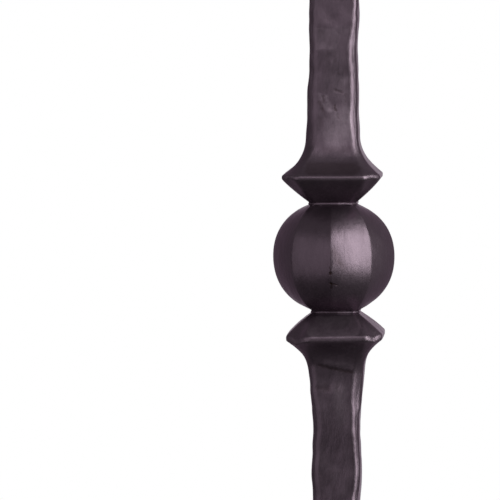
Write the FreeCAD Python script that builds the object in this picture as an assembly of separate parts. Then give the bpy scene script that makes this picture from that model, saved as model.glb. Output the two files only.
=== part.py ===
import FreeCAD, Part
import math
import os

# Hammered iron stair baluster: a square bar with two knuckles, forged as one piece.
# Millimetres, upright, with the origin at the middle of the foot and the front face towards -Y.

# Overall sizes
baluster_length = 1117.6      # foot to head
lower_ball_height = 322.0     # foot to the middle of the lower ball
upper_ball_drop = 282.0       # head to the middle of the upper ball

# Square bar with cut corners, before it is hammered
bar_width = 14.3              # across the flats
bar_corner_cut = 1.6          # taken off each edge of a flat by the corner facet

# Hammer marks, which sink the side flats and then the front and back flats by turns
mark_pitch = 31.0             # from one mark on a flat to the next
mark_depth = 1.15             # how far a flat sinks in a full mark
side_mark_corner_cut = 1.9    # corner facet where a full mark sinks the side flats
first_ridge_rise = 12.6       # from the flare above a knuckle to the side flats' first ridge
full_depth_distance = 64.0    # marks nearer to a knuckle than this are shallower
depth_unevenness = 0.38       # share by which the depth of a mark wanders
pitch_unevenness = 0.12       # share of the pitch by which marks wander along the bar
ridge_wear = 0.15             # most that a ridge is beaten down
first_steps = (3, 47, 85)     # where the unevenness of the foot, middle and head bars starts

# Ball, with eight gores between creases over the flats and creases over the corners
ball_width = 36.0             # across the creases over the flats
ball_corner_width = 33.0      # across the creases over the corners
ball_height = 31.2            # between the lands of its two necks

# Neck and collar at each end of the ball
neck_width = 14.6             # across the flats
neck_corner_cut = 1.8
neck_land = 0.9               # straight height of the neck
taper_height = 6.7            # from the neck out to the rim
collar_width = 28.4           # across the flats at the rim
collar_corner_cut = 4.4
rim_land = 1.0                # straight height of the rim
flare_height = 10.6           # from the rim back to the bar
root_width = 15.8             # bar where the flare starts
root_corner_cut = 2.6
flare_corner_cut = 1.2        # what the corner facet narrows towards on its way down the flare

FACES = 4
SIDES = (0, 2)                # right and left flats, in the order of a section's half widths
FRONT_AND_BACK = (1, 3)
FLARE_STEPS = 6


def wander(step):
    """Return an uneven but repeatable share from -1 to 1, as in hand work."""
    return math.sin(step**2)


def section(height, half_widths, corner_cut):
    """Return a square section with cut corners; the half widths go right, back, left, front."""
    right, back, left, front = half_widths
    corners = [
        (right, corner_cut - front),
        (right, back - corner_cut),
        (right - corner_cut, back),
        (corner_cut - left, back),
        (-left, back - corner_cut),
        (-left, corner_cut - front),
        (corner_cut - left, -front),
        (right - corner_cut, -front),
    ]
    points = [FreeCAD.Vector(x, y, height) for x, y in corners]
    return Part.makePolygon(points + points[:1])


def even_section(height, width, corner_cut):
    """Return a section whose four flats lie equally far from the axis."""
    return section(height, [width / 2] * FACES, corner_cut)


def depth_share(height, knuckle_heights):
    """Return the share of the full depth that a mark has, which is less near a knuckle."""
    nearest = min(abs(height - knuckle) for knuckle in knuckle_heights)
    return min(1.0, nearest / full_depth_distance)


def struck_section(height, step, struck, share, corner_cut):
    """Return the bar's section where blows sink two opposite flats, and the other two stand as ridges."""
    half_widths = []
    for face in range(FACES):
        unevenness = wander(step + face)
        if face in struck:
            sink = mark_depth * share * (1 + depth_unevenness * unevenness)
        else:
            sink = ridge_wear * abs(unevenness)
        half_widths.append(bar_width / 2 - sink)
    return section(height, half_widths, corner_cut)


def root_section(height):
    """Return the section where a flare starts."""
    return even_section(height, root_width, root_corner_cut)


def first_ridge_section(height):
    """Return the section of the side flats' first ridge above a knuckle, between flare and bar."""
    ridge = (root_width + bar_width) / 4
    sunk = ridge - mark_depth * depth_share(first_ridge_rise, [0])
    return section(height, [ridge, sunk, ridge, sunk], (root_corner_cut + bar_corner_cut) / 2)


def end_section(height):
    """Return the section of the bar's foot or head."""
    return even_section(height, bar_width, bar_corner_cut)


def hammered_bar(first_step, sections_below, bottom, top, top_section, knuckle_heights):
    """Return a length of bar with hammer marks from bottom to top, on the sections that lead up to them."""
    mark_count = max(1, round((top - bottom) / mark_pitch))
    pitch = (top - bottom) / mark_count
    sections = list(sections_below)
    for mark in range(mark_count):
        step = first_step + FACES * mark
        side_height = bottom + (mark + 0.5 + pitch_unevenness * wander(step)) * pitch
        share = depth_share(side_height, knuckle_heights)
        corner_cut = bar_corner_cut + share * (side_mark_corner_cut - bar_corner_cut)
        sections.append(struck_section(side_height, step, SIDES, share, corner_cut))
        if mark < mark_count - 1:
            front_height = bottom + (mark + 1 + pitch_unevenness * wander(step + FACES / 2)) * pitch
            share = depth_share(front_height, knuckle_heights)
            sections.append(struck_section(front_height, step, FRONT_AND_BACK, share, bar_corner_cut))
    sections.append(top_section)
    return Part.makeLoft(sections, True, True)


def gored_ball():
    """Return the ball about the origin, its gores ruled between creases that are arcs."""
    half_height = ball_height / 2
    neck_radii = (neck_width / 2, (neck_width - neck_corner_cut) / math.sqrt(2))
    middle_radii = (ball_width / 2, ball_corner_width / 2)
    creases = []
    foot_corners = []
    for turn in range(2 * FACES):
        angle = turn * math.pi / FACES
        outward = FreeCAD.Vector(math.cos(angle), math.sin(angle), 0)
        rise = FreeCAD.Vector(0, 0, half_height)
        neck_point = outward * neck_radii[turn % 2]
        middle_point = outward * middle_radii[turn % 2]
        creases.append(Part.Arc(neck_point - rise, middle_point, neck_point + rise).toShape())
        foot_corners.append(neck_point - rise)
    faces = [Part.makeRuledSurface(creases[turn - 1], creases[turn]) for turn in range(2 * FACES)]
    foot = Part.Face(Part.makePolygon(foot_corners + foot_corners[:1]))
    faces.append(foot)
    faces.append(foot.translated(FreeCAD.Vector(0, 0, ball_height)))
    shell = Part.Shell(faces)
    shell.sewShape()
    ball = Part.Solid(shell)
    if ball.Volume < 0:
        ball.reverse()
    return ball


def collar():
    """Return the neck, taper, rim and flare above a ball whose middle is the origin."""
    neck_bottom = ball_height / 2
    taper_bottom = neck_bottom + neck_land
    rim_bottom = taper_bottom + taper_height
    rim_top = rim_bottom + rim_land
    straight_sections = [
        even_section(neck_bottom, neck_width, neck_corner_cut),
        even_section(taper_bottom, neck_width, neck_corner_cut),
        even_section(rim_bottom, collar_width, collar_corner_cut),
        even_section(rim_top, collar_width, collar_corner_cut),
    ]
    flare_sections = []
    for step in range(FLARE_STEPS + 1):
        drop = step / FLARE_STEPS
        share = (1 - drop) ** 2
        width = root_width + share * (collar_width - root_width)
        bend = 2 * share * (1 - share)
        ends = share**2 * collar_corner_cut + (1 - share) ** 2 * root_corner_cut
        corner_cut = ends + bend * flare_corner_cut
        flare_sections.append(even_section(rim_top + drop * flare_height, width, corner_cut))
    return [Part.makeLoft(straight_sections, True, True), Part.makeLoft(flare_sections, True, False)]


def knuckle(height):
    """Return the pieces of a ball with a collar above and below it."""
    upper = collar()
    lower = [piece.mirror(FreeCAD.Vector(0, 0, 0), FreeCAD.Vector(0, 0, 1)) for piece in upper]
    return [piece.translated(FreeCAD.Vector(0, 0, height)) for piece in upper + lower + [gored_ball()]]


def baluster():
    """Return the whole baluster as one solid."""
    upper_ball_height = baluster_length - upper_ball_drop
    reach = ball_height / 2 + neck_land + taper_height + rim_land + flare_height
    lower_roots = (lower_ball_height - reach, lower_ball_height + reach)
    upper_roots = (upper_ball_height - reach, upper_ball_height + reach)
    roots = lower_roots + upper_roots
    foot_steps, middle_steps, head_steps = first_steps
    foot_bar_top = root_section(lower_roots[0])
    pieces = [hammered_bar(foot_steps, [end_section(0)], 0, lower_roots[0], foot_bar_top, roots)]
    bars_above = [
        (middle_steps, lower_roots[1], upper_roots[0], root_section(upper_roots[0])),
        (head_steps, upper_roots[1], baluster_length, end_section(baluster_length)),
    ]
    for first_step, root, top, top_section in bars_above:
        ridge = root + first_ridge_rise
        sections_below = [root_section(root), first_ridge_section(ridge)]
        pieces.append(hammered_bar(first_step, sections_below, ridge, top, top_section, roots))
    pieces += knuckle(lower_ball_height) + knuckle(upper_ball_height)
    return pieces[0].multiFuse(pieces[1:])


os.makedirs("parts", exist_ok=True)
shape = baluster()
print("solids", len(shape.Solids), "valid", shape.isValid(), "volume in cubic mm", round(shape.Volume, 1))
shape.exportStep("parts/baluster.step")
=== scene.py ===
"""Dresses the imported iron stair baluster: hammered surface, coated finish, studio and camera."""
import logging
import math
from dataclasses import dataclass, field, fields, replace
from enum import Enum
from typing import Any, Iterable, Iterator

import bmesh
import bpy
from bpy.types import ID, Material, Mesh, Node, NodeSocket, NodeTree, Object, World
from mathutils import Matrix, Vector


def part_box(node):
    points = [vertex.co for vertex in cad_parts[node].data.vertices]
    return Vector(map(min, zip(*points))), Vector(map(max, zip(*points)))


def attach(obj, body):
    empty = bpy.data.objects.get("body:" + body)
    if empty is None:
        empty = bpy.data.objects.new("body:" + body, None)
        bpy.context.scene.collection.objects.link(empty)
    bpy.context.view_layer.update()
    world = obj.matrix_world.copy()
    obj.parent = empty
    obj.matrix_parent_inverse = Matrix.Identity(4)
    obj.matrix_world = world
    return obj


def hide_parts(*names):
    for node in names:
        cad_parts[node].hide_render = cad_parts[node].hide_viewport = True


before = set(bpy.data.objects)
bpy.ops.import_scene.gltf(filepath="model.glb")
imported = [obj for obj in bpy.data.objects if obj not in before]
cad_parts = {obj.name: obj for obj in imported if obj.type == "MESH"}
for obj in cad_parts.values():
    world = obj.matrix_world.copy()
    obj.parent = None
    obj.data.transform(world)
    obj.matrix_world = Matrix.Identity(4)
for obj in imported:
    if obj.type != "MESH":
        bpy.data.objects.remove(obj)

LOG = logging.getLogger("baluster")
MM = 0.001
FACES = 4
ZERO = (0.0, 0.0, 0.0)
TINY = 1e-6
# Most of the way to the next section that the rounding of a line may take.
LINE_SHARE = 0.45
SMOOTH = {"interpolation_type": "SMOOTHSTEP"}
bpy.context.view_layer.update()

# What the node tree reads off each section, and off each point of the ring that it sweeps along them.
SECTION_VECTORS = ("half_plus", "half_minus", "slant")
SECTION_NUMBERS = ("height", "corner_cut", "edge_round", "lean", "drift", "gored", "gore_over_flats",
                   "gore_over_corners")
RING_VECTORS = ("square", "cut", "round", "face", "corner")


class Bar(Enum):
    """The three lengths of bar, with the step at which each one's unevenness starts."""

    FOOT = 3
    MIDDLE = 47
    HEAD = 85


class Flats(Enum):
    """The pairs of flats that the hammer sinks by turns, by their places in a section's half widths."""

    SIDES = (0, 2)
    FRONT_AND_BACK = (1, 3)


class Stretch(Enum):
    """Kinds of stretch along the baluster, with how strongly hand work shows on each."""

    BAR = 1.0
    COLLAR = 0.25
    BALL = 0.08
    CUT_END = 0.0


@dataclass
class Nodes:
    """A node tree while its nodes are added."""

    tree: NodeTree

    def add(self, kind: str, inputs: dict[str | int, Any] | Iterable[Any] = (), **settings: Any) -> Node:
        """Add a node with its settings and its links.

        Args:
            kind: Blender's type name of the node, which may leave out ShaderNode, and its operation if it has one.
            inputs: Nodes, output sockets and values that go into its inputs, by name or in the inputs' order.
            settings: Properties of the node by name.

        Returns:
            The new node.
        """
        kind, _, operation = kind.partition(" ")
        node = self.tree.nodes.new(kind if "Node" in kind else "ShaderNode" + kind)
        if operation:
            node.operation = operation
        for name, value in settings.items():
            setattr(node, name, value)
        for key, value in inputs.items() if isinstance(inputs, dict) else enumerate(inputs):
            if isinstance(value, Node):
                value = next(socket for socket in value.outputs if socket.enabled)
            if isinstance(value, NodeSocket):
                self.tree.links.new(value, node.inputs[key])
            else:
                node.inputs[key].default_value = value
        return node


def emptied(owner: Material | World) -> Nodes:
    """Empty the node tree of a material or a world.

    Args:
        owner: The material or world.

    Returns:
        Its tree, to add nodes to.
    """
    owner.use_nodes = True
    owner.node_tree.nodes.clear()
    return Nodes(owner.node_tree)


def placed(name: str, data: ID) -> Object:
    """Put a new object into the scene.

    Args:
        name: Name of the object.
        data: Its mesh, lamp or camera.

    Returns:
        The object.
    """
    item = bpy.data.objects.new(name, data)
    bpy.context.scene.collection.objects.link(item)
    return item


def linear(hex_colour: str) -> tuple[float, ...]:
    """Return an sRGB hex colour as linear red, green and blue with an alpha of 1."""
    shares = [int(hex_colour[place:place + 2], 16) / 255 for place in (1, 3, 5)]
    return *(s / 12.92 if s <= 0.04045 else ((s + 0.055) / 1.055) ** 2.4 for s in shares), 1.0


def wander(step: float) -> float:
    """Return an uneven but repeatable share from -1 to 1, as in hand work."""
    return math.sin(step**2)


def part_way(start: Iterable[float], end: Iterable[float], share: float) -> tuple[float, ...]:
    """Return the numbers that lie a share of the way from one row of numbers to another."""
    return tuple(a + (b - a) * share for a, b in zip(start, end))


def arc_radius(middle: float, end: float, rise: float, height: float) -> float:
    """Return an arc's distance from the axis at a height, from that at its middle and that at its ends' rise."""
    radius = ((middle - end) ** 2 + rise**2) / (2 * (middle - end))
    return middle - radius + math.sqrt(radius**2 - height**2)


@dataclass(frozen=True)
class Station:
    """One section across the baluster, in millimetres.

    The half widths go right, back, left, front. A gored section uses the two gore radii instead, over the
    flats and over the corners. The slant is how far the section climbs for each millimetre along X, along Y
    and of the cut at a corner.
    """

    height: float
    half_widths: tuple[float, ...]
    corner_cut: float
    hand_work: float = Stretch.BAR.value
    line_round: float = 0.0
    edge_round: float = 0.7
    slant: tuple[float, ...] = ZERO
    gore_radii: tuple[float, ...] = (0.0, 0.0)

    def towards(self, other: "Station", share: float) -> "Station":
        """Go part of the way to another section.

        Args:
            other: The other section.
            share: How far to go, from 0 to 1.

        Returns:
            The section there, with this one's rounding.
        """
        rows = {name: part_way(getattr(self, name), getattr(other, name), share)
                for name in ("half_widths", "slant", "gore_radii")}
        numbers = "height", "corner_cut", "hand_work", "edge_round"
        values = part_way(*([getattr(end, name) for name in numbers] for end in (self, other)), share)
        return replace(self, **rows, **dict(zip(numbers, values)))

    def at_distance(self, other: "Station", distance: float) -> "Station":
        """Return the section at a distance from this one, on the way to another."""
        return self.towards(other, min(LINE_SHARE, distance / max(TINY, abs(other.height - self.height))))


@dataclass(frozen=True)
class Spacing:
    """Largest height between two stations, in millimetres, which is finer within reach of one height."""

    plain: float
    fine: float = 0.0
    middle: float = 0.0
    reach: float = 0.0

    def at(self, height: float) -> float:
        """Return the largest height between stations at a height."""
        return self.fine if abs(height - self.middle) < self.reach else self.plain


def even(height: float, width: float, corner_cut: float, stretch: Stretch, line_round: float = 0.0,
         slant: tuple[float, ...] = ZERO) -> Station:
    """Return a section whose four flats lie equally far from the axis."""
    return Station(height, (width / 2,) * FACES, corner_cut, stretch.value, line_round, slant=slant)


def rounded(sections: list[Station], spacing: Spacing) -> Iterator[Station]:
    """Fill in between sections, and round the line that each one draws around the baluster.

    Args:
        sections: Sections from the lowest to the highest.
        spacing: Largest height between two stations.

    Yields:
        Stations from the lowest to the highest.
    """
    done = sections[0]
    for place, section in enumerate(sections):
        before = after = section
        if section.line_round and 0 < place < len(sections) - 1:
            before = section.at_distance(sections[place - 1], section.line_round)
            after = section.at_distance(sections[place + 1], section.line_round)
        gap = before.height - done.height
        steps = max(1, math.ceil(gap / spacing.at(done.height + gap / 2)))
        for step in range(1, steps):
            yield done.towards(before, step / steps)
        yield before
        if after is not before:
            steps = max(2, math.ceil((after.height - before.height) / spacing.at(section.height)))
            for share in (step / steps for step in range(1, steps + 1)):
                yield before.towards(section, share).towards(section.towards(after, share), share)
        done = after


def eased(stations: list[Station], middles: Iterable[float], reach: float, passes: int) -> list[Station]:
    """Ease the sections near some heights into each other, so that no line shows there.

    Args:
        stations: Stations from the lowest to the highest.
        middles: Heights at which the easing is full.
        reach: Distance from those heights at which it has died away.
        passes: How many times each section moves up to half way to the line between its neighbours.

    Returns:
        The stations, at the same heights.
    """
    stations, shares = list(stations), {}
    for place in range(1, len(stations) - 1):
        away = min(abs(stations[place].height - middle) for middle in middles)
        if away < reach:
            shares[place] = 0.5 * (1 - (away / reach) ** 2)
    for _ in range(passes):
        for place, share in shares.items():
            below, station, above = stations[place - 1:place + 2]
            gap = above.height - below.height
            line = below.towards(above, (station.height - below.height) / gap if gap else 0.5)
            stations[place] = replace(station.towards(line, share), height=station.height)
    return stations


@dataclass
class HammeredBar:
    """Square bar with cut corners and hammer marks across all four flats, in millimetres."""

    width: float = 14.3
    corner_cut: float = 1.6
    mark_pitch: float = 31.0
    mark_depth: float = 1.15
    side_mark_corner_cut: float = 1.9
    first_ridge_rise: float = 12.6
    full_depth_distance: float = 64.0
    depth_unevenness: float = 0.38
    pitch_unevenness: float = 0.12
    ridge_wear: float = 0.15
    line_slant: float = 0.07
    slant_steps: tuple[float, float] = (0.3, 0.7)
    side_line_round: float = 2.0
    front_line_round: float = 5.0
    end_bevel: float = 0.35

    def slant(self, step: float) -> tuple[float, ...]:
        """Return how a blow's line slants to the right and to the back."""
        return *(self.line_slant * wander(step + further) for further in self.slant_steps), 0.0

    def depth_share(self, distance: float) -> float:
        """Return the share of the full depth that a mark has at a distance from the nearest flare."""
        return min(1.0, distance / self.full_depth_distance)

    def struck(self, height: float, step: float, flats: Flats, depth_share: float) -> Station:
        """Sink two opposite flats by blows, while the other two stand as ridges.

        Args:
            height: Height of the section.
            step: Place in the bar's run of unevenness.
            flats: The flats that are sunk.
            depth_share: Share of the full depth.

        Returns:
            The section.
        """
        halves = []
        for face in range(FACES):
            unevenness = wander(step + face)
            sink = self.ridge_wear * abs(unevenness)
            if face in flats.value:
                sink = self.mark_depth * depth_share * (1 + self.depth_unevenness * unevenness)
            halves.append(self.width / 2 - sink)
        cut, turn, line_round = self.corner_cut, step + 2, self.front_line_round
        if flats is Flats.SIDES:
            cut += depth_share * (self.side_mark_corner_cut - cut)
            turn, line_round = step, self.side_line_round
        return Station(height, tuple(halves), cut, line_round=line_round, slant=self.slant(turn))

    def end(self, height: float, inwards: int) -> list[Station]:
        """Bevel one end of the bar.

        Args:
            height: Height of the end's face.
            inwards: 1 where the bar lies above the face, and -1 where it lies below.

        Returns:
            The face and the full section, upwards.
        """
        face = even(height, self.width - 2 * self.end_bevel, self.corner_cut, Stretch.CUT_END)
        full = even(height + inwards * self.end_bevel, self.width, self.corner_cut, Stretch.CUT_END)
        return [face, full] if inwards > 0 else [full, face]

    def marks(self, which: Bar, bottom: float, top: float, roots: Iterable[float]) -> list[Station]:
        """Lay hammer marks along one length of bar.

        Args:
            which: The length of bar.
            bottom: Height where its marks start.
            top: Height where they end.
            roots: Heights of the flares' starts, near which the marks are shallower.

        Returns:
            The struck sections, upwards.
        """
        count = max(1, round((top - bottom) / self.mark_pitch))
        pitch = (top - bottom) / count
        sections = []
        for mark in range(count):
            step = which.value + FACES * mark
            places = {Flats.SIDES: mark + 0.5 + self.pitch_unevenness * wander(step)}
            if mark < count - 1:
                places[Flats.FRONT_AND_BACK] = mark + 1 + self.pitch_unevenness * wander(step + FACES / 2)
            for flats, place in places.items():
                height = bottom + place * pitch
                nearest = min(abs(height - root) for root in roots)
                sections.append(self.struck(height, step, flats, self.depth_share(nearest)))
        return sections


@dataclass(frozen=True)
class Collar:
    """What the hand work made different from one collar to the other, in millimetres.

    The rim and the neck can sit a little nearer to the ball, and the rim can be thicker by an extra. The rim
    slants along X, and the spread is how far its corners climb away from the ball for each millimetre of
    their cut.
    """

    corner_cut: float
    root_width: float
    flare_power: float
    rim_lift: float = 0.0
    rim_extra: float = 0.0
    neck_drop: float = 0.0
    rim_slant: float = 0.0
    corner_spread: float = 0.0


@dataclass
class Knuckle:
    """Gored ball between two flared collars, about the ball's middle, in millimetres."""

    ball_width: float = 35.9
    ball_corner_width: float = 33.0
    ball_height: float = 31.2
    ball_fullness: float = 0.25
    neck_width: float = 14.6
    neck_corner_cut: float = 1.8
    neck_land: float = 0.9
    neck_groove: float = 0.25
    neck_gap: float = 0.08
    taper_height: float = 6.7
    taper_bulge: float = 0.4
    taper_rings: int = 14
    collar_width: float = 28.4
    rim_land: float = 1.0
    flare_height: float = 10.6
    root_corner_cut: float = 2.1
    flare_corner_cut: float = 1.2
    neck_round: float = 0.2
    rim_round: float = 0.5
    spacing: Spacing = Spacing(0.42)
    ball_rings: int = 72
    flare_rings: int = 26
    upper: Collar = Collar(4.5, 15.1, 2.0, neck_drop=0.35, corner_spread=0.06)
    lower: Collar = Collar(5.3, 15.6, 2.5, rim_lift=0.5, rim_extra=0.4, rim_slant=-0.02, corner_spread=0.15)

    @property
    def rim_rise(self) -> float:
        """Height from the ball's middle to the middle of a rim."""
        return self.ball_height / 2 + self.neck_land + self.taper_height + self.rim_land / 2

    @property
    def reach(self) -> float:
        """Height from the ball's middle to where the bar starts."""
        return self.rim_rise + self.rim_land / 2 + self.flare_height

    def root(self, height: float, width: float) -> Station:
        """Return the section of a width where a flare starts."""
        return even(height, width, self.root_corner_cut, Stretch.BAR, self.rim_round)

    def collar(self, shape: Collar) -> list[Station]:
        """Shape the neck, taper, rim and flare above the ball.

        Args:
            shape: What is special to this collar.

        Returns:
            The sections, upwards.
        """
        neck_bottom = self.ball_height / 2 - shape.neck_drop
        neck_top = neck_bottom + self.neck_land
        rim_bottom = self.rim_rise - self.rim_land / 2 - shape.rim_lift
        rim_top = rim_bottom + self.rim_land + shape.rim_extra
        groove, cut, kind = self.neck_width - 2 * self.neck_groove, self.neck_corner_cut, Stretch.COLLAR
        slant = shape.rim_slant, 0.0, shape.corner_spread
        sections = [
            even(neck_bottom + self.neck_gap, groove, cut, kind),
            even((neck_bottom + neck_top) / 2, self.neck_width, cut, kind, self.neck_round),
        ]
        for ring in range(self.taper_rings):
            share = ring / self.taper_rings
            width, ring_cut, height = part_way(
                (groove, cut, neck_top), (self.collar_width, shape.corner_cut, rim_bottom), share)
            # The 8 makes the bulge full half way, on both sides.
            width += 8 * self.taper_bulge * share * (1 - share)
            sections.append(even(height, width, ring_cut, kind, slant=part_way(ZERO, slant, share)))
        for height in (rim_bottom, rim_top):
            sections.append(even(height, self.collar_width, shape.corner_cut, kind, self.rim_round, slant))
        for ring in range(1, self.flare_rings + 1):
            drop = ring / self.flare_rings
            share = (1 - drop) ** shape.flare_power
            width = shape.root_width + share * (self.collar_width - shape.root_width)
            ends = share**2 * shape.corner_cut + (1 - share) ** 2 * self.root_corner_cut
            ring_cut = ends + 2 * share * (1 - share) * self.flare_corner_cut
            height = rim_top + drop * (self.reach - rim_top)
            sections.append(even(height, width, ring_cut, kind, slant=part_way(ZERO, slant, share)))
        return list(rounded(sections, self.spacing))

    def ball(self) -> list[Station]:
        """Shape the ball, whose creases are arcs that are made a little fuller on the way to the necks.

        Returns:
            The gored sections, upwards.
        """
        rise = self.ball_height / 2
        neck_radii = self.neck_width / 2, (self.neck_width - self.neck_corner_cut) / math.sqrt(2)
        middle_radii = self.ball_width / 2, self.ball_corner_width / 2
        halves = (self.neck_width / 2,) * FACES
        stations = []
        for ring in range(self.ball_rings + 1):
            share = -math.cos(math.pi * ring / self.ball_rings)
            # The 6.75 makes the swell full where it is largest, two thirds of the way to a neck.
            swell = 6.75 * self.ball_fullness * share**2 * (1 - abs(share))
            radii = tuple(arc_radius(middle, end, rise, rise * share) + swell
                          for middle, end in zip(middle_radii, neck_radii))
            height = share * (rise - (self.upper if share > 0 else self.lower).neck_drop)
            stations.append(Station(height, halves, self.neck_corner_cut, Stretch.BALL.value, gore_radii=radii))
        return stations

    def stations(self, height: float) -> list[Station]:
        """Join the ball and its two collars.

        Args:
            height: Height of the ball's middle.

        Returns:
            The sections of the whole knuckle, upwards.
        """
        below = [replace(station, height=-station.height, slant=part_way(station.slant, ZERO, 2.0))
                 for station in reversed(self.collar(self.lower))]
        whole = below + self.ball() + self.collar(self.upper)
        return [replace(station, height=height + station.height) for station in whole]


@dataclass
class Profile:
    """Ring of points around a section: where each one lies on the flats, corner facets and gores.

    Shares along the flat run from its middle to its edge. Each edge between a flat and a corner facet is
    rounded over three points.
    """

    flat_shares: tuple[float, ...] = (0.0, 0.13, 0.27, 0.41, 0.56, 0.71, 0.85, 0.95)
    facet_shares: tuple[float, ...] = (0.5, 1.0)
    gore_bulge_share: float = 0.03

    def octant(self) -> list[dict[str, Vector]]:
        """Lay out the points from the middle of the right flat to the corner behind it.

        Returns:
            For each point its corner of the full square, and how it slides as the corner is cut and rounded. The
            cut's Z is how far the point lies in on the corner facet, which the slant works on.
        """
        edge, along_facet, corner = Vector((0, -1, 0)), Vector((-1, 1, 0)).normalized(), Vector((1, 1, 0))
        points = [{"square": Vector((1, share, 0)), "cut": edge * share, "round": edge * share}
                  for share in self.flat_shares]
        for slide in (edge, (edge + along_facet) / 4, along_facet):
            points.append({"square": corner.copy(), "cut": edge.copy(), "round": slide.copy()})
        for share in self.facet_shares:
            cut = edge.lerp(Vector((-0.5, -0.5, 1)), share)
            points.append({"square": corner.copy(), "cut": cut, "round": along_facet * (1 - share)})
        return points

    def points(self) -> list[dict[str, Vector]]:
        """Turn and mirror the octant into the whole ring, and bulge the gores between their creases.

        Returns:
            The points, turning from the right flat towards the back.
        """
        octant = self.octant()
        last = len(octant) - 1
        for place, point in enumerate(octant):
            share = (1 - math.cos(math.pi * place / last)) / 2
            bulge = 1 + self.gore_bulge_share * 4 * share * (1 - share)
            point["face"] = Vector((1 - share, 0, 0)) * bulge
            point["corner"] = Vector((share, share, 0)) * math.sqrt(0.5) * bulge
        swap = Matrix(((0, 1, 0), (1, 0, 0), (0, 0, 1)))
        quarter = octant + [{name: swap @ value for name, value in point.items()} for point in octant[-2:0:-1]]
        ring = []
        for turn in range(FACES):
            turned = Matrix.Rotation(turn * math.pi / 2, 3, "Z")
            ring += [{name: turned @ value for name, value in point.items()} for point in quarter]
        self.soften_creases(ring, last)
        return ring

    @staticmethod
    def soften_creases(ring: list[dict[str, Vector]], stride: int) -> None:
        """Ease each crease between two gores a little towards its neighbours.

        Args:
            ring: The points, which are changed.
            stride: How many points lie from one crease to the next.
        """
        for name in ("face", "corner"):
            before = [point[name].copy() for point in ring]
            for place in range(0, len(ring), stride):
                beside = before[place - 1] + before[(place + 1) % len(ring)]
                ring[place][name] = before[place] / 2 + beside / 4


@dataclass(frozen=True)
class Blow:
    """One hammer blow as seen on the front, in millimetres across and up from the upper ball's middle.

    The patch goes back by its depth, by its turn for each millimetre to the right and up, and by its bend for
    each square millimetre, so a turn makes it face further to the right and up. The crispness is the share of
    its area that it holds in full before it fades into its surroundings.
    """

    place: tuple[float, float]
    reach: tuple[float, float]
    depth: float = 0.0
    turn: tuple[float, float] = (0.0, 0.0)
    bend: tuple[float, float] = (0.0, 0.0)
    crispness: float = 0.0


@dataclass(frozen=True)
class Stroke:
    """One scratch, pit, stroke of painted shade or patch of painted highlight as seen on the front, in millimetres
    across and up from the upper ball's middle.

    The stain is how much a dark stroke darkens the coat, with grime in scratch marks and with painted shade in the
    strokes that have no groove, or how much a light stroke lightens it as a painted highlight. The crispness is the
    share of its width that it holds in full before it fades.
    """

    start: tuple[float, float]
    end: tuple[float, float]
    width: float
    stain: float
    depth: float = 0.0
    crispness: float = 0.0


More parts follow.
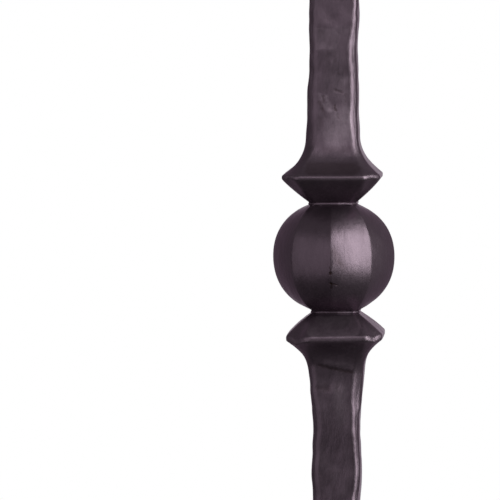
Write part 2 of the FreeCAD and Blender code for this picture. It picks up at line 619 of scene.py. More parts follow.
@dataclass
class HandMarksAndPaintedLight:
    """Single blows and tool marks of the forging that show beside and on the upper ball, with shade and highlights
    painted into the coat among them.

    Each row of the dark strokes, which are scratch marks with grime and strokes of painted shade, and of the light
    strokes, which are painted highlights, has the fields of a stroke in their order.
    """

    blows: tuple[Blow, ...] = (
        Blow((-0.7, 74.0), (30.0, 14.0), depth=0.78, turn=(0.0, 0.06), crispness=0.85),
        Blow((0.5, 50.0), (30.0, 19.0), depth=0.5, turn=(0.03, 0.01), bend=(0.002, 0.0)),
        Blow((0.6, -29.6), (6.5, 3.2), turn=(0.03, 0.15)),
        Blow((1.4, -40.5), (30.0, 8.0), depth=0.1, turn=(0.03, 0.03)),
        Blow((2.0, -55.5), (9.0, 10.5), depth=0.12, turn=(-0.03, -0.035)),
    )
    scratches: tuple[Stroke, ...] = tuple(Stroke(*row) for row in (
        ((1.1, 49.1), (2.8, 48.3), 0.9, 0.3, 0.05), ((-2.7, 47.1), (-2.5, 45.9), 0.8, 0.25, 0.05),
        ((-3.6, 45.3), (-2.6, 43.4), 0.9, 0.25, 0.05), ((-2.6, 43.4), (-1.7, 41.2), 0.9, 0.15, 0.03),
        ((0.9, 44.2), (1.0, 43.0), 0.7, 0.5, 0.08), ((1.9, 42.0), (2.0, 41.0), 0.9, 0.2, 0.04),
        ((4.1, 47.6), (4.2, 45.8), 0.7, 0.2, 0.03), ((-3.3, 40.6), (-3.1, 38.6), 1.3, 0.15, 0.03),
        # No groove: these two darken the coat as painted shade at the foot of the upper flare and higher up on it.
        ((-6.0, 26.3), (6.5, 26.3), 2.4, 0.26, 0.0, 0.5), ((-2.0, 31.6), (5.0, 31.8), 1.6, 0.12),
        ((-4.0, -31.4), (-0.1, -32.45), 0.85, 0.4, 0.05), ((0.9, -32.7), (5.4, -33.5), 0.9, 0.45, 0.05),
        ((-4.7, -38.2), (-1.2, -38.5), 1.3, 0.2, 0.06), ((1.4, -38.6), (2.0, -40.0), 1.0, 0.1, 0.04),
        # No groove: these two darken the coat as painted shade in an arc across the ball's highlight.
        ((0.8, 2.8), (2.2, -0.6), 1.5, 0.14), ((2.2, -0.6), (4.8, -2.8), 1.3, 0.12),
        ((-0.2, -1.8), (-0.1, -3.2), 0.3, 0.5, 0.04), ((0.0, -3.7), (0.0, -3.9), 0.65, 0.9, 0.08),
        ((-0.4, -6.9), (2.0, -7.2), 0.4, 0.7, 0.05), ((0.1, -6.6), (0.0, -8.2), 0.4, 0.6, 0.05),
    ))
    rubs: tuple[Stroke, ...] = tuple(Stroke(*row) for row in (
        # Each row lightens the coat as a painted highlight, on the bar, on the flares and the lower taper, and on the
        # neck beads.
        ((2.6, 40.4), (1.4, 35.4), 5.4, 0.6), ((-2.5, 37.6), (3.5, 37.0), 3.6, 0.1),
        ((-5.0, 30.0), (5.4, 30.0), 2.4, 0.08), ((-5.4, 75.0), (-4.9, 64.5), 0.9, 0.1),
        ((1.8, 66.4), (4.2, 66.3), 2.2, 0.15), ((4.4, 43.0), (4.8, 36.0), 2.2, 0.25),
        ((-4.5, 64.2), (-0.5, 64.0), 3.4, 0.13, 0.0, 0.85), ((1.6, 59.5), (2.0, 48.5), 4.2, 0.18),
        ((3.8, 52.0), (4.2, 45.0), 2.4, 0.22), ((-5.0, -20.0), (5.6, -19.8), 3.2, 0.24, 0.0, 0.75),
        ((-3.4, 47.9), (-3.2, 46.2), 1.0, 0.25), ((-1.7, 47.0), (-0.4, 43.4), 1.1, 0.4),
        ((-2.4, 44.8), (-0.7, 43.1), 1.2, 0.35), ((2.0, 16.0), (5.0, 16.0), 0.8, 0.5),
        ((2.0, -16.2), (5.0, -16.2), 0.8, 0.6), ((-2.0, -30.6), (5.0, -31.6), 1.5, 0.2),
        ((1.8, -39.0), (3.0, -47.0), 3.2, 0.24), ((1.8, -35.4), (2.4, -38.6), 3.8, 0.14),
    ))


@dataclass
class SkinTree:
    """Geometry Nodes tree that skins the sections along a spine and lays the hand work on the skin.

    Its numbers are the tree's named inputs, in metres, radians or shares. Single blows fade out between the
    front plane and the back plane, slowly enough for the skin not to fold on the side flats. While the tree is
    built, it also keeps its nodes, the outputs of its input node and the nodes that read attributes.
    """

    edge_wander: float = 0.35
    edge_wander_length: float = 16.0 * MM
    dent_length: float = 22.0 * MM
    dent_depth: float = 0.55 * MM
    wave_length: float = 6.0 * MM
    wave_depth: float = 0.3 * MM
    ding_spacing: float = 5.5 * MM
    ding_density: float = 40000.0
    ding_radius_min: float = 0.9 * MM
    ding_radius_max: float = 3.4 * MM
    ding_depth_share: float = 0.07
    front_plane: float = -4.0 * MM
    back_plane: float = 4.0 * MM
    sharp_angle: float = math.radians(42)
    seed_stride: float = 1.37
    corners_apart: float = 2.3
    seed: int = 7
    name: str = "skin_of_sections"
    nodes: Nodes = field(init=False)
    given: Any = field(init=False)
    read: dict[str, Node] = field(init=False)

    def sizes(self) -> dict[str, float]:
        """Return the tree's size inputs by their titles."""
        return {item.name.replace("_", " ").title(): getattr(self, item.name)
                for item in fields(self) if item.type is float}

    def build(self, blows: Iterable[Blow]) -> NodeTree:
        """Build the tree.

        Args:
            blows: Single blows on the front, at their heights above the foot.

        Returns:
            The tree.
        """
        tree = bpy.data.node_groups.new(self.name, "GeometryNodeTree")
        kinds = {"Geometry": "Geometry", "Profile": "Object", "Finish": "Material", "Seed": "Int"}
        for title, kind in (kinds | dict.fromkeys(self.sizes(), "Float")).items():
            tree.interface.new_socket(title, in_out="INPUT", socket_type="NodeSocket" + kind)
        tree.interface.new_socket("Geometry", in_out="OUTPUT", socket_type="NodeSocketGeometry")
        self.nodes = Nodes(tree)
        add = self.nodes.add
        self.given = add("NodeGroupInput").outputs
        kinds = dict.fromkeys(SECTION_VECTORS + RING_VECTORS, "FLOAT_VECTOR")
        kinds |= dict.fromkeys(SECTION_NUMBERS + ("hand_work",), "FLOAT")
        self.read = {name: add("GeometryNodeInputNamedAttribute", {"Name": name}, data_type=kind)
                     for name, kind in kinds.items()}
        worked = self.hand_work(self.skin(), blows)
        angle = add("GeometryNodeInputMeshEdgeAngle")
        soft = add("FunctionNodeCompare LESS_THAN", [angle, self.given["Sharp Angle"]])
        smooth = add("GeometryNodeSetShadeSmooth", {"Geometry": worked, "Shade Smooth": soft}, domain="EDGE")
        solid = add("GeometryNodeRealizeInstances", {"Geometry": smooth})
        dressed = add("GeometryNodeSetMaterial", {"Geometry": solid, "Material": self.given["Finish"]})
        add("NodeGroupOutput", {"Geometry": dressed})
        return tree

    def skin(self) -> Node:
        """Sweep the profile along the spine and move each point to its place on its section.

        Returns:
            Node with the skin.
        """
        add, read = self.nodes.add, self.read
        profile = add("GeometryNodeObjectInfo", {"Object": self.given["Profile"]}).outputs["Geometry"]
        ring, spine = (add("GeometryNodeMeshToCurve", {"Mesh": mesh}) for mesh in (profile, self.given["Geometry"]))
        sweep = add("GeometryNodeCurveToMesh", {"Curve": spine, "Profile Curve": ring, "Fill Caps": True})
        behind = add("VectorMath MAXIMUM", [read["square"], ZERO])
        before = add("VectorMath MINIMUM", [read["square"], ZERO])
        plus = add("VectorMath MULTIPLY", [behind, read["half_plus"]])
        square = add("VectorMath MULTIPLY_ADD", [before, read["half_minus"], plus])
        cut = add("VectorMath MULTIPLY_ADD", [read["cut"], self.corner_cut(), square])
        flat_sided = add("VectorMath MULTIPLY_ADD", [read["round"], read["edge_round"], cut])
        over_flats = add("VectorMath MULTIPLY", [read["face"], read["gore_over_flats"]])
        gored = add("VectorMath MULTIPLY_ADD", [read["corner"], read["gore_over_corners"], over_flats])
        across = add("Mix", {"Factor": read["gored"], "A": flat_sided, "B": gored}, data_type="VECTOR")
        climb = add("VectorMath DOT_PRODUCT", [across, read["slant"]])
        level = add("Math ADD", [read["height"], climb])
        rise = add("CombineXYZ", {"X": read["drift"], "Z": level})
        position = add("VectorMath MULTIPLY_ADD", [across, (1, 1, 0), rise])
        return add("GeometryNodeSetPosition", {"Geometry": sweep, "Position": position})

    def corner_cut(self) -> Node:
        """Let the corner facets lean to one side, and widen and narrow unevenly along each corner.

        Returns:
            Node with the cut at a point.
        """
        add, given, read = self.nodes.add, self.given, self.read
        leaning = add("Math MULTIPLY_ADD", [add("SeparateXYZ", [read["square"]]), read["lean"], 1.0])
        leant = add("Math MULTIPLY", [leaning, read["corner_cut"]])
        along = add("Math DIVIDE", [read["height"], given["Edge Wander Length"]])
        lifted = add("CombineXYZ", {"Z": along})
        which_edge = add("VectorMath MULTIPLY_ADD", [read["square"], given["Corners Apart"], lifted])
        noise = add("TexNoise", {"Vector": which_edge, "Scale": 1.0, "Detail": 2.0})
        swing = add("MapRange", [noise, 0.0, 1.0, -1.0, 1.0], clamp=False)
        strength = add("Math MULTIPLY", [given["Edge Wander"], read["hand_work"]])
        share = add("Math MULTIPLY_ADD", [swing, strength, 1.0])
        return add("Math MULTIPLY", [leant, share])

    def hand_work(self, skin: Node, blows: Iterable[Blow]) -> Node:
        """Lay waviness, dings and single blows on the skin.

        Args:
            skin: Node with the plain skin.
            blows: Single blows on the front.

        Returns:
            Node with the worked skin.
        """
        add = self.nodes.add
        waves = add("Math ADD", [self.waves("Dent"), self.waves("Wave")])
        rough = add("Math SUBTRACT", [waves, self.dings(skin)])
        lift = add("Math MULTIPLY", [rough, self.read["hand_work"]])
        outward = add("VectorMath SCALE", {0: add("GeometryNodeInputNormal"), "Scale": lift})
        inward = add("CombineXYZ", {"Y": self.struck(blows)})
        offset = add("VectorMath ADD", [outward, inward])
        return add("GeometryNodeSetPosition", {"Geometry": skin, "Offset": offset})

    def waves(self, title: str) -> Node:
        """Make a soft waviness.

        Args:
            title: Which of the named lengths and depths it has.

        Returns:
            Node with the waviness, from minus to plus its depth.
        """
        add, given = self.nodes.add, self.given
        frequency = add("Math DIVIDE", [1.0, given[title + " Length"]])
        shifted = add("Math MULTIPLY", [given["Seed"], given["Seed Stride"]])
        noise = add("TexNoise", {"W": shifted, "Scale": frequency, "Detail": 1.0, "Roughness": 0.45},
                    noise_dimensions="4D")
        swing = add("MapRange", [noise, 0.0, 1.0, -1.0, 1.0], clamp=False)
        return add("Math MULTIPLY", [swing, given[title + " Depth"]])

    def dings(self, skin: Node) -> Node:
        """Scatter small hammer dings of uneven size over the skin.

        Args:
            skin: Node with the plain skin.

        Returns:
            Node with the depth of the dings.
        """
        add, given = self.nodes.add, self.given
        points = add("GeometryNodeDistributePointsOnFaces", {
            "Mesh": skin, "Distance Min": given["Ding Spacing"], "Density Max": given["Ding Density"],
            "Density Factor": self.read["hand_work"], "Seed": given["Seed"]}, distribute_method="POISSON")
        near = add("GeometryNodeProximity", {"Geometry": points}, target_element="POINTS").outputs["Distance"]
        which = add("GeometryNodeSampleNearest", {"Geometry": points})
        size = add("FunctionNodeRandomValue", {"ID": which, "Seed": given["Seed"]})
        spread = add("Math SUBTRACT", [given["Ding Radius Max"], given["Ding Radius Min"]])
        radius = add("Math MULTIPLY_ADD", [spread, size, given["Ding Radius Min"]])
        depth = add("Math MULTIPLY", [radius, given["Ding Depth Share"]])
        return add("MapRange", [near, 0.0, radius, depth, 0.0], **SMOOTH)

    def struck(self, blows: Iterable[Blow]) -> Node:
        """Sink, turn and bend the patches that single blows left on the front.

        Args:
            blows: The blows.

        Returns:
            Node with how far a point goes back.
        """
        add, given = self.nodes.add, self.given
        place = add("SeparateXYZ", [add("GeometryNodeInputPosition")]).outputs
        seen = add("CombineXYZ", {"X": place["X"], "Z": place["Z"]})
        near_front = add("MapRange", [place["Y"], given["Front Plane"], given["Back Plane"], 1.0, 0.0], **SMOOTH)
        total = add("Value")
        for blow in blows:
            away = add("VectorMath SUBTRACT", [seen, (blow.place[0] * MM, 0.0, blow.place[1] * MM)])
            share = add("VectorMath DIVIDE", [away, (blow.reach[0] * MM, 1.0, blow.reach[1] * MM)])
            far = add("VectorMath DOT_PRODUCT", [share, share])
            hold = add("MapRange", [far, blow.crispness, 1.0, 1.0, 0.0], **SMOOTH)
            bend, turn = (blow.bend[0] / MM, 0.0, blow.bend[1] / MM), (blow.turn[0], 0.0, blow.turn[1])
            slope = add("VectorMath MULTIPLY_ADD", [away, bend, turn])
            tilt = add("VectorMath DOT_PRODUCT", [slope, away])
            sink = add("Math ADD", [tilt, blow.depth * MM])
            total = add("Math MULTIPLY_ADD", [sink, hold, total])
        return add("Math MULTIPLY", [total, near_front])


def helper_object(name: str, corners: list[Any], edges: list[tuple[int, int]],
                  columns: dict[str, list[Any]]) -> Object:
    """Make an object of points and edges that only the node tree reads.

    Args:
        name: Name of the object.
        corners: Places of its points.
        edges: Pairs of points.
        columns: Numbers or vectors for the points, by the name that the node tree reads them by.

    Returns:
        The object.
    """
    mesh = bpy.data.meshes.new(name)
    mesh.from_pydata(corners, edges, [])
    for title, values in columns.items():
        if isinstance(values[0], float):
            mesh.attributes.new(title, "FLOAT", "POINT").data.foreach_set("value", values)
        else:
            flat = [part for value in values for part in value]
            mesh.attributes.new(title, "FLOAT_VECTOR", "POINT").data.foreach_set("vector", flat)
    return placed(name, mesh)


@dataclass(frozen=True)
class PowderCoatedIron:
    """Forged iron under a bronze-black powder coat, sprayed and oven cured.

    The eye gets a near black with a plum-brown cast, a broad satin shine, fine streaks along the bar from its
    drawing out, an orange peel, slightly drier patches where the hammer left the iron rough, highlights painted
    into the coat as lighter rims and patches, and shade painted into some dark strokes beside the grime of the
    scratch marks. The marks lie about the ball at a height in millimetres. Pairs of strengths are for smooth
    and for hammered iron.
    """

    ball_height: float
    name: str = "powder_coated_forged_iron"
    coat: str = "#3e333b"
    worn_coat: str = "#544751"
    # Colour that the painted highlights lighten the coat towards, on the rims and in the light strokes.
    rubbed_coat: str = "#7b6c77"
    glancing_cast: str = "#e6d0e2"
    # Dark brown for the grime in scratch marks and for the shade painted into the dark strokes.
    dirt_and_painted_shade: str = "#23150f"
    metallic: float = 0.9
    smooth_roughness: float = 0.32
    dry_roughness: float = 0.44
    patch_mm: float = 14.0
    # Real drawing lines are about 0.2 mm wide, too fine to show, so they are drawn four times as coarse.
    streak_mm: float = 0.8
    streak_stretch: float = 0.16
    streak_depth_mm: float = 0.1
    streak_strengths: tuple[float, float] = (0.08, 0.25)
    peel_mm: float = 1.1
    peel_depth_mm: float = 0.12
    peel_strength: float = 0.15
    scuff_mm: float = 3.2
    scuff_depth_mm: float = 0.4
    scuff_strengths: tuple[float, float] = (0.36, 0.6)
    scuff_turn: float = math.radians(38)
    scuff_stretch: float = 0.38
    noise_span: tuple[float, float] = (0.3, 0.7)
    streak_share: float = 0.25
    least_mottling: float = 0.35
    # How unevenly the painted highlights lighten the coat.
    highlight_mottling: tuple[float, float] = (0.55, 1.3)
    wobble_mm: float = 1.6
    wobble_swing_mm: float = 1.4
    front_edge: tuple[float, float] = (0.46, 0.42)

    def material(self, marks: HandMarksAndPaintedLight) -> Material:
        """Make the finish as a material on Object coordinates.

        Args:
            marks: Tool marks, painted shade and painted highlights on the front.

        Returns:
            The material.
        """
        material = bpy.data.materials.new(self.name)
        nodes = emptied(material)
        add = nodes.add
        place = add("TexCoord").outputs["Object"]
        turned = add("Mapping", {"Vector": place, "Rotation": (0.0, self.scuff_turn, 0.0),
                                 "Scale": (1.0, 1.0, self.scuff_stretch)})
        scuffs = add("TexNoise", {
            "Vector": turned, "Scale": 1 / (self.scuff_mm * MM), "Detail": 4.0, "Roughness": 0.6})
        drawn_out = add("Mapping", {"Vector": place, "Scale": (1.0, 1.0, self.streak_stretch)})
        streaks = add("TexNoise", {
            "Vector": drawn_out, "Scale": 1 / (self.streak_mm * MM), "Detail": 2.0, "Roughness": 0.6})
        peel = add("TexNoise", {"Vector": place, "Scale": 1 / (self.peel_mm * MM), "Detail": 1.0, "Roughness": 0.5})
        # Dark strokes give grooves and a darkening of grime and painted shade; light strokes give painted highlights.
        grooves, dirt_and_shade = self.strokes(nodes, place, marks.scratches)
        highlight_patches = self.strokes(nodes, place, marks.rubs)[1]
        hammered = add("Attribute", attribute_name="hand_work").outputs["Fac"]
        beaten, drawn = (add("MapRange", [hammered, 0.0, 1.0, *strengths])
                         for strengths in (self.scuff_strengths, self.streak_strengths))
        bump = add("Bump", {"Height": grooves, "Distance": MM}, invert=True)
        for height, strength, depth in ((scuffs, beaten, self.scuff_depth_mm), (streaks, drawn, self.streak_depth_mm),
                                        (peel, self.peel_strength, self.peel_depth_mm)):
            bump = add("Bump", {"Height": height, "Strength": strength, "Distance": depth * MM, "Normal": bump})
        dryness = add("MapRange", [scuffs, *self.noise_span, self.smooth_roughness, self.dry_roughness])
        shader = add("BsdfPrincipled", {
            "Base Color": self.colour(nodes, place, streaks, highlight_patches, dirt_and_shade), "Metallic": self.metallic,
            "Roughness": dryness, "Specular Tint": linear(self.glancing_cast), "Normal": bump})
        add("OutputMaterial", {"Surface": shader})
        return material

    def colour(self, nodes: Nodes, place: NodeSocket, streaks: Node, highlight_patches: Node, dirt_and_shade: Node) -> Node:
        """Mottle the coat where the bar was hammered, paint highlights on the rims and in the light strokes, and
        darken it with grime and painted shade in the dark strokes.

        Args:
            nodes: Tree that the nodes go into.
            place: Socket with the Object coordinates.
            streaks: Node with the streaks along the bar.
            highlight_patches: Node with the painted highlight of the light strokes.
            dirt_and_shade: Node with the grime in the scratch marks and the painted shade of the dark strokes.

        Returns:
            Node with the colour.
        """
        add = nodes.add
        patches = add("TexNoise", {
            "Vector": place, "Scale": 1 / (self.patch_mm * MM), "Detail": 4.0, "Roughness": 0.65})
        uneven = add("Mix", {"Factor": self.streak_share, "A": patches, "B": streaks})
        spread = add("MapRange", [uneven, *self.noise_span])
        hammered = add("Attribute", attribute_name="hand_work").outputs["Fac"]
        mottling = add("MapRange", {"Value": hammered, "To Min": self.least_mottling})
        share = add("Mix", {"Factor": mottling, "A": 0.5, "B": spread})
        coat = add("Mix", {"Factor": share, "A": linear(self.coat), "B": linear(self.worn_coat)}, data_type="RGBA")
        # Painted highlight on the rims, from the spine's attribute, joined to that of the light strokes.
        edges = add("Attribute", attribute_name="rubbed").outputs["Fac"]
        mottled = add("MapRange", [uneven, *self.noise_span, *self.highlight_mottling])
        rubbed = add("Math MULTIPLY_ADD", [highlight_patches, mottled, edges], use_clamp=True)
        lighter = add("Mix", {"Factor": rubbed, "A": coat, "B": linear(self.rubbed_coat)}, data_type="RGBA")
        return add("Mix", {"Factor": dirt_and_shade, "A": lighter, "B": linear(self.dirt_and_painted_shade)}, data_type="RGBA")

    def strokes(self, nodes: Nodes, place: NodeSocket, strokes: Iterable[Stroke]) -> tuple[Node, Node]:
        """Lay down strokes, dark ones of grime and painted shade or light ones of painted highlight, many of them far
        finer than the mesh, with wobbling outlines.

        Args:
            nodes: Tree that the nodes go into.
            place: Socket with the Object coordinates.
            strokes: Strokes on the front.

        Returns:
            Nodes with the depth of the strokes in millimetres and with how strongly they tint the coat.
        """
        add, swing = nodes.add, self.wobble_swing_mm * MM
        parts = add("SeparateXYZ", [place]).outputs
        flat = add("CombineXYZ", {"X": parts["X"], "Z": parts["Z"]})
        wobble = add("TexNoise", {"Vector": place, "Scale": 1 / (self.wobble_mm * MM), "Detail": 2.0})
        shift = add("VectorMath MULTIPLY_ADD", [wobble.outputs["Color"], (swing, 0.0, swing), flat])
        seen = add("VectorMath SUBTRACT", [shift, (swing / 2, 0.0, swing / 2)])
        depth = stain = add("Value")
        for stroke in strokes:
            start, end = (Vector((across, 0.0, up + self.ball_height)) * MM
                          for across, up in (stroke.start, stroke.end))
            along = end - start
            away = add("VectorMath SUBTRACT", [seen, start])
            share = add("VectorMath DOT_PRODUCT", [away, along / along.length_squared])
            near = add("VectorMath SCALE", {0: along, "Scale": add("Clamp", [share])})
            distance = add("VectorMath DISTANCE", [away, near])
            width = stroke.width * MM
            groove = add("MapRange", [distance, stroke.crispness * width, width, 1.0, 0.0], **SMOOTH)
            depth = add("Math MULTIPLY_ADD", [groove, stroke.depth, depth])
            stain = add("Math MULTIPLY_ADD", [groove, stroke.stain, stain])
        turned = add("SeparateXYZ", [add("TexCoord").outputs["Normal"]]).outputs
        sideways = add("Math ABSOLUTE", [turned["X"]])
        forward = add("Math LESS_THAN", [turned["Y"], 0.0])
        on_front = add("MapRange", [sideways, *self.front_edge, 0.0, forward])
        depth = add("Math MULTIPLY", [depth, on_front])
        return depth, add("Math MULTIPLY", [stain, on_front], use_clamp=True)


@dataclass(frozen=True)
class Lie:
    """How the forging lies at a height above the upper ball's middle, in millimetres.

    The drift is how far its axis has gone to the right. The lean is the share by which the left corner facets
    are wider and the right ones narrower. The swell is how far each side flat stands out.
    """

    above: float
    drift: float = 0.0
    lean: float = 0.0
    swell: float = 0.0


@dataclass
class Baluster:
    """The whole baluster: three lengths of hammered bar and two knuckles, in millimetres."""

    length: float
    node: str = "baluster"
    lower_ball_height: float = 322.0
    upper_ball_drop: float = 282.0
    bar_spacing: float = 2.7
    close_spacing: float = 0.85
    close_reach: float = 84.0
    root_ease_reach: float = 6.5
    root_ease_passes: int = 40
    # Over this height about each rim the coat is painted lighter as a highlight, by up to the share below.
    rim_highlight_reach: float = 1.3
    rim_highlight: float = 0.12
    lies: tuple[Lie, ...] = tuple(Lie(*row) for row in (
        (-400.0,), (-110.0, 0.5), (-71.0, 0.65, 0.05), (-64.0, 0.7, 0.1, 0.25), (-56.0, 0.7, 0.1, 0.15),
        (-48.0, 0.8, 0.05, -0.3), (-39.0, 0.85, -0.3), (-34.0, 0.8, -0.3, 0.1), (-30.0, 0.7, 0.05, 0.05),
        (-24.0, 0.45, 0.17), (-16.0, 0.6, 0.1), (-13.5, 0.05, 0.1), (18.0,), (23.6, -0.22, 0.0, 0.25), (27.5, 0.05),
        (36.0, -0.1, 0.3), (41.0, -0.1, 0.2, -0.15), (49.0, 0.0, 0.1, 0.15), (56.0, 0.2, 0.0, 0.05), (62.0, 0.3),
        (73.0, 0.42, 0.3, 0.22), (95.0, 0.4, 0.1), (200.0,),
    ))
    bar: HammeredBar = field(default_factory=HammeredBar)
    knuckle: Knuckle = field(default_factory=Knuckle)
    profile: Profile = field(default_factory=Profile)
    marks: HandMarksAndPaintedLight = field(default_factory=HandMarksAndPaintedLight)
    skin: SkinTree = field(default_factory=SkinTree)

    @property
    def balls(self) -> tuple[float, float]:
        """Heights of the two balls' middles."""
        return self.lower_ball_height, self.length - self.upper_ball_drop

    def stations(self) -> list[Station]:
        """Join the three lengths of bar and the two knuckles.

        Returns:
            Every section of the baluster, from foot to head.
        """
        bar, knuckle, balls, rise = self.bar, self.knuckle, self.balls, self.bar.first_ridge_rise
        roots = [ball + side * knuckle.reach for ball in balls for side in (-1, 1)]
        spacing = Spacing(self.bar_spacing, self.close_spacing, balls[1], self.close_reach)
        foot = bar.end(0.0, 1) + bar.marks(Bar.FOOT, 0.0, roots[0], roots)
        middle = self.above_knuckle(roots[1]) + bar.marks(Bar.MIDDLE, roots[1] + rise, roots[2], roots)
        head = self.above_knuckle(roots[3]) + bar.marks(Bar.HEAD, roots[3] + rise, self.length, roots)
        foot.append(knuckle.root(roots[0], knuckle.lower.root_width))
        middle.append(knuckle.root(roots[2], knuckle.lower.root_width))
        head += bar.end(self.length, -1)
        stations = [*rounded(foot, spacing), *knuckle.stations(balls[0])[1:-1], *rounded(middle, spacing),
                    *knuckle.stations(balls[1])[1:-1], *rounded(head, spacing)]
        lines = roots + [roots[1] + rise, roots[3] + rise]
        return eased(stations, lines, self.root_ease_reach, self.root_ease_passes)

    def above_knuckle(self, root: float) -> list[Station]:
        """Shape the plain stretch above a knuckle.

        Args:
            root: Height where its flare ends.

        Returns:
            The sections of the root and of the first ridge.
        """
        rise, width = self.bar.first_ridge_rise, self.knuckle.upper.root_width
        ridge = (width + self.bar.width) / 4
        sunk = ridge - self.bar.mark_depth * self.bar.depth_share(rise)
        cut = (self.knuckle.root_corner_cut + self.bar.corner_cut) / 2
        first = Station(root + rise, (ridge, sunk, ridge, sunk), cut, line_round=self.bar.front_line_round)
        return [self.knuckle.root(root, width), first]

    def lie(self, height: float) -> Lie:
        """Find how the forging lies.

        Args:
            height: Height above the foot.

        Returns:
            The lie there, eased from one given lie to the next.
        """
        above = height - self.balls[1]
        for low, high in zip(self.lies, self.lies[1:]):
            if low.above <= above <= high.above:
                share = (above - low.above) / (high.above - low.above)
                ends = [(lie.drift, lie.lean, lie.swell) for lie in (low, high)]
                return Lie(above, *part_way(*ends, share**2 * (3 - 2 * share)))
        return Lie(above)

    def rubbed(self, height: float) -> float:
        """Return the share by which a rim's coat is painted lighter as a highlight at a height."""
        rims = [ball + side * self.knuckle.rim_rise for ball in self.balls for side in (-1, 1)]
        return self.rim_highlight * max(0.0, 1 - (min(abs(height - rim) for rim in rims) / self.rim_highlight_reach) ** 2)

    def spine(self) -> Object:
        """Draw a line up the axis.

        Returns:
            The line, whose points carry the sections.
        """
        stations = self.stations()
        heights = [station.height for station in stations]
        lies = [self.lie(height) for height in heights]
        halves = [[(half + lie.swell * (1 - face % 2)) * MM for face, half in enumerate(station.half_widths)]
                  for station, lie in zip(stations, lies)]
        columns = {
            "height": [height * MM for height in heights],
            "half_plus": [(right, back, 0.0) for right, back, _, _ in halves],
            "half_minus": [(left, front, 0.0) for _, _, left, front in halves],
            "slant": [station.slant for station in stations],
            "drift": [lie.drift * MM for lie in lies],
            "lean": [-lie.lean for lie in lies],
            "gored": [float(station.gore_radii[0] > 0) for station in stations],
            "gore_over_flats": [station.gore_radii[0] * MM for station in stations],
            "gore_over_corners": [station.gore_radii[1] * MM for station in stations],
            "hand_work": [float(station.hand_work) for station in stations],
            "rubbed": [self.rubbed(height) for height in heights],
        }
        for name in ("corner_cut", "edge_round"):
            columns[name] = [getattr(station, name) * MM for station in stations]
        return helper_object(self.node + "_spine", [(0.0, 0.0, height * MM) for height in heights],
                             [(place, place + 1) for place in range(len(stations) - 1)], columns)

    def ring(self) -> Object:
        """Draw the closed ring that is swept along the spine.

        Returns:
            The ring, whose points carry their places on the profile.
        """
        points = self.profile.points()
        edges = [(place, (place + 1) % len(points)) for place in range(len(points))]
        columns = {name: [tuple(point[name]) for point in points] for name in RING_VECTORS}
        corners = [tuple(point["square"] * MM) for point in points]
        return helper_object(self.node + "_profile", corners, edges, columns)

    def build(self) -> Object:
        """Skin the sections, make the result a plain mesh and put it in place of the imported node.

        Returns:
            The finished piece.
        """
        spine, ring, ball = self.spine(), self.ring(), self.balls[1]
        blows = [replace(blow, place=(blow.place[0], blow.place[1] + ball)) for blow in self.marks.blows]
        modifier = spine.modifiers.new("skin", "NODES")
        modifier.node_group = self.skin.build(blows)
        finish = PowderCoatedIron(ball).material(self.marks)
        values = {"Profile": ring, "Finish": finish, "Seed": self.skin.seed} | self.skin.sizes()
        for socket in modifier.node_group.interface.items_tree:
            if socket.in_out == "INPUT" and socket.name in values:
                modifier[socket.identifier] = values[socket.name]
        mesh = bpy.data.meshes.new_from_object(spine.evaluated_get(bpy.context.evaluated_depsgraph_get()))
        mesh.name = self.node + "_forged"
        for helper in (spine, ring):
            bpy.data.objects.remove(helper)
        self.clean(mesh)
        piece = placed(self.node + "_forged", mesh)
        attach(piece, "root")
        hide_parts(self.node)
        return piece

    @staticmethod
    def clean(mesh: Mesh) -> None:
        """Turn the faces outwards and drop the attributes that only the node tree needed.

        Args:
            mesh: Mesh that is changed.
        """
        shaped = bmesh.new()
        shaped.from_mesh(mesh)
        bmesh.ops.recalc_face_normals(shaped, faces=shaped.faces)
        shaped.to_mesh(mesh)
        shaped.free()
        for name in SECTION_VECTORS + SECTION_NUMBERS + RING_VECTORS:
            layer = mesh.attributes.get(name)
            if layer:
                mesh.attributes.remove(layer)


def direction(azimuth: float, elevation: float) -> Vector:
    """Return the unit vector to the right of the front by an azimuth, and up by an elevation, in degrees."""
    turn, tilt = math.radians(azimuth), math.radians(elevation)
    return Vector((math.sin(turn) * math.cos(tilt), -math.cos(turn) * math.cos(tilt), math.sin(tilt)))


@dataclass(frozen=True)
class Softbox:
    """Rectangular softbox that faces a point, in degrees and metres.

    The azimuth goes to the right of the front. The radiance is the brightness of its face, where 1 is white, and
    the cast is the colour of its light.
    """

    name: str
    azimuth: float
    elevation: float
    distance: float
    size: tuple[float, float]
    radiance: float
    cast: str = "#ffffff"

    def hang(self, aim: Vector) -> Object:
        """Hang the softbox.

        Args:
            aim: Point that it faces.

        Returns:
            The lamp.
        """
        lamp = bpy.data.lights.new(self.name, "AREA")
        lamp.shape = "RECTANGLE"
        lamp.size, lamp.size_y = self.size
        lamp.energy = self.radiance * math.pi * self.size[0] * self.size[1]
        lamp.color = linear(self.cast)[:3]
        box = placed(self.name, lamp)
        out = direction(self.azimuth, self.elevation)
        box.location = aim + out * self.distance
        box.rotation_euler = (-out).to_track_quat("-Z", "Y").to_euler()
        box.visible_camera = False
        return box


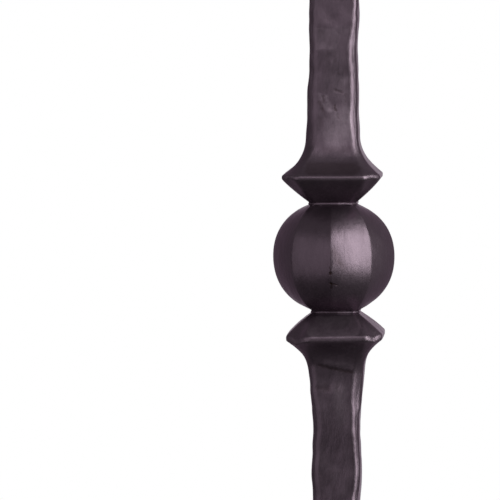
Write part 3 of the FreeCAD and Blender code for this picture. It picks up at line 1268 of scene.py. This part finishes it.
@dataclass
class Studio:
    """Pale floor, white surroundings and soft lamps around the upper knuckle, in metres."""

    aim_height: float
    floor_radius: float = 3.0
    floor_colour: str = "#f4f0f3"
    floor_fade_start: float = 0.25
    floor_fade_end: float = 2.4
    fill_strength: float = 0.32
    ceiling_strength: float = 0.34
    ground_strength: float = 0.085
    back_strength: float = 0.43
    ground_to_ceiling: tuple[float, float] = (-0.6, 1.0)
    front_to_back: tuple[float, float] = (-0.1, 0.7)
    wall_edge: tuple[float, float] = (0.84, 0.98)
    softboxes: tuple[Softbox, ...] = (
        # The key is a bank of cool white tubes, which are a little green.
        Softbox("key_softbox", 62.4, 15.0, 1.4, (1.05, 1.62), 8.7, "#f5fff6"),
        Softbox("front_softbox", -46.0, 2.0, 1.2, (1.9, 1.3), 0.95),
        Softbox("high_softbox", 10.0, 31.0, 1.2, (0.8, 0.7), 1.7),
    )

    def build(self) -> None:
        """Make the floor, the surroundings and the lamps."""
        self.floor()
        self.surroundings()
        for softbox in self.softboxes:
            softbox.hang(Vector((0, 0, self.aim_height)))

    def floor(self) -> Object:
        """Lay the floor, which fades to the white of the surroundings away from the foot.

        Returns:
            The floor.
        """
        shape = bmesh.new()
        bmesh.ops.create_circle(shape, cap_ends=True, segments=96, radius=self.floor_radius)
        mesh = bpy.data.meshes.new("studio_floor")
        shape.to_mesh(mesh)
        shape.free()
        mesh.materials.append(self.floor_paper())
        floor = placed("studio_floor", mesh)
        floor.visible_glossy = False
        return floor

    def floor_paper(self) -> Material:
        """Make matt white paper that the camera sees fade to white with distance from the foot.

        Returns:
            The material.
        """
        material = bpy.data.materials.new("matt_backdrop_paper")
        add = emptied(material).add
        paper = add("BsdfDiffuse", {"Color": linear(self.floor_colour)})
        white = add("Emission")
        far = add("VectorMath LENGTH", [add("TexCoord").outputs["Object"]])
        fade = add("MapRange", [far, self.floor_fade_start, self.floor_fade_end], **SMOOTH)
        share = add("Math MULTIPLY", [fade, add("LightPath").outputs["Is Camera Ray"]])
        add("OutputMaterial", {"Surface": add("MixShader", [share, paper, white])})
        return material

    def surroundings(self) -> None:
        """Make the world white to the eye, a white wall and a dim room in reflections, and a soft fill otherwise."""
        world = bpy.data.worlds.new("white_studio")
        add = emptied(world).add
        path = add("LightPath").outputs
        parts = add("SeparateXYZ", [add("TexCoord").outputs["Generated"]]).outputs
        strengths = self.ground_strength, self.ceiling_strength
        front = add("MapRange", [parts["Z"], *self.ground_to_ceiling, *strengths], **SMOOTH)
        room = add("MapRange", [parts["Y"], *self.front_to_back, front, self.back_strength], **SMOOTH)
        wall = add("MapRange", [parts["Y"], *self.wall_edge, room], **SMOOTH)
        unseen = add("Mix", {"Factor": path["Is Glossy Ray"], "A": self.fill_strength, "B": wall})
        seen = add("Math MAXIMUM", [path["Is Camera Ray"], path["Is Transmission Ray"]])
        strength = add("Mix", {"Factor": seen, "A": unseen, "B": 1.0})
        white = add("Background", {"Color": (1, 1, 1, 1), "Strength": strength})
        add("OutputWorld", {"Surface": white})
        bpy.context.scene.world = world


@dataclass
class CloseUpCamera:
    """Camera that sees the upper knuckle as the photograph's close view does, in metres and degrees."""

    ball_height: float
    azimuth: float = 3.0
    elevation: float = 4.0
    roll: float = -0.35
    distance: float = 1.25
    frame_pixels: float = 500.0
    pixel_size: float = 0.2945 * MM
    ball_pixel: tuple[float, float] = (333.7, 256.0)
    sensor: float = 36.0
    clip: tuple[float, float] = (0.05, 60.0)

    def facing(self, way: Vector) -> Matrix:
        """Return the turn of a camera that looks a way, rolled."""
        return way.to_track_quat("-Z", "Y").to_matrix() @ Matrix.Rotation(math.radians(self.roll), 3, "Z")

    def build(self) -> Object:
        """Place the camera, aim it and make it the scene's own.

        Returns:
            The camera.
        """
        lens = bpy.data.cameras.new("close_up_camera")
        lens.sensor_width = self.sensor
        lens.lens = self.sensor * self.distance / (self.frame_pixels * self.pixel_size)
        lens.clip_start, lens.clip_end = self.clip
        camera = placed("close_up_camera", lens)
        ball, out = Vector((0, 0, self.ball_height)), direction(self.azimuth, self.elevation)
        turn, half = self.facing(-out), self.frame_pixels / 2
        aim = ball - turn.col[0] * (self.ball_pixel[0] - half) * self.pixel_size
        aim += turn.col[1] * (self.ball_pixel[1] - half) * self.pixel_size
        camera.location = ball + out * self.distance
        camera.rotation_euler = self.facing(aim - camera.location).to_euler()
        bpy.context.scene.camera = camera
        return camera


def main() -> None:
    """Build the baluster, then the studio and the camera, and report each piece."""
    logging.basicConfig(level=logging.INFO, format="%(name)s: %(message)s")
    bpy.context.scene.view_settings.view_transform = "Standard"
    baluster = Baluster(length=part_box("baluster")[1].z / MM)
    piece = baluster.build()
    triangles = sum(len(face.vertices) - 2 for face in piece.data.polygons)
    LOG.info("%s: %d triangles", piece.name, triangles)
    knuckle_height = baluster.balls[1] * MM
    Studio(aim_height=knuckle_height).build()
    LOG.info("studio around a knuckle at %.3f m", knuckle_height)
    CloseUpCamera(ball_height=knuckle_height).build()
    LOG.info("camera on the upper knuckle")


if __name__ == "__main__":
    main()
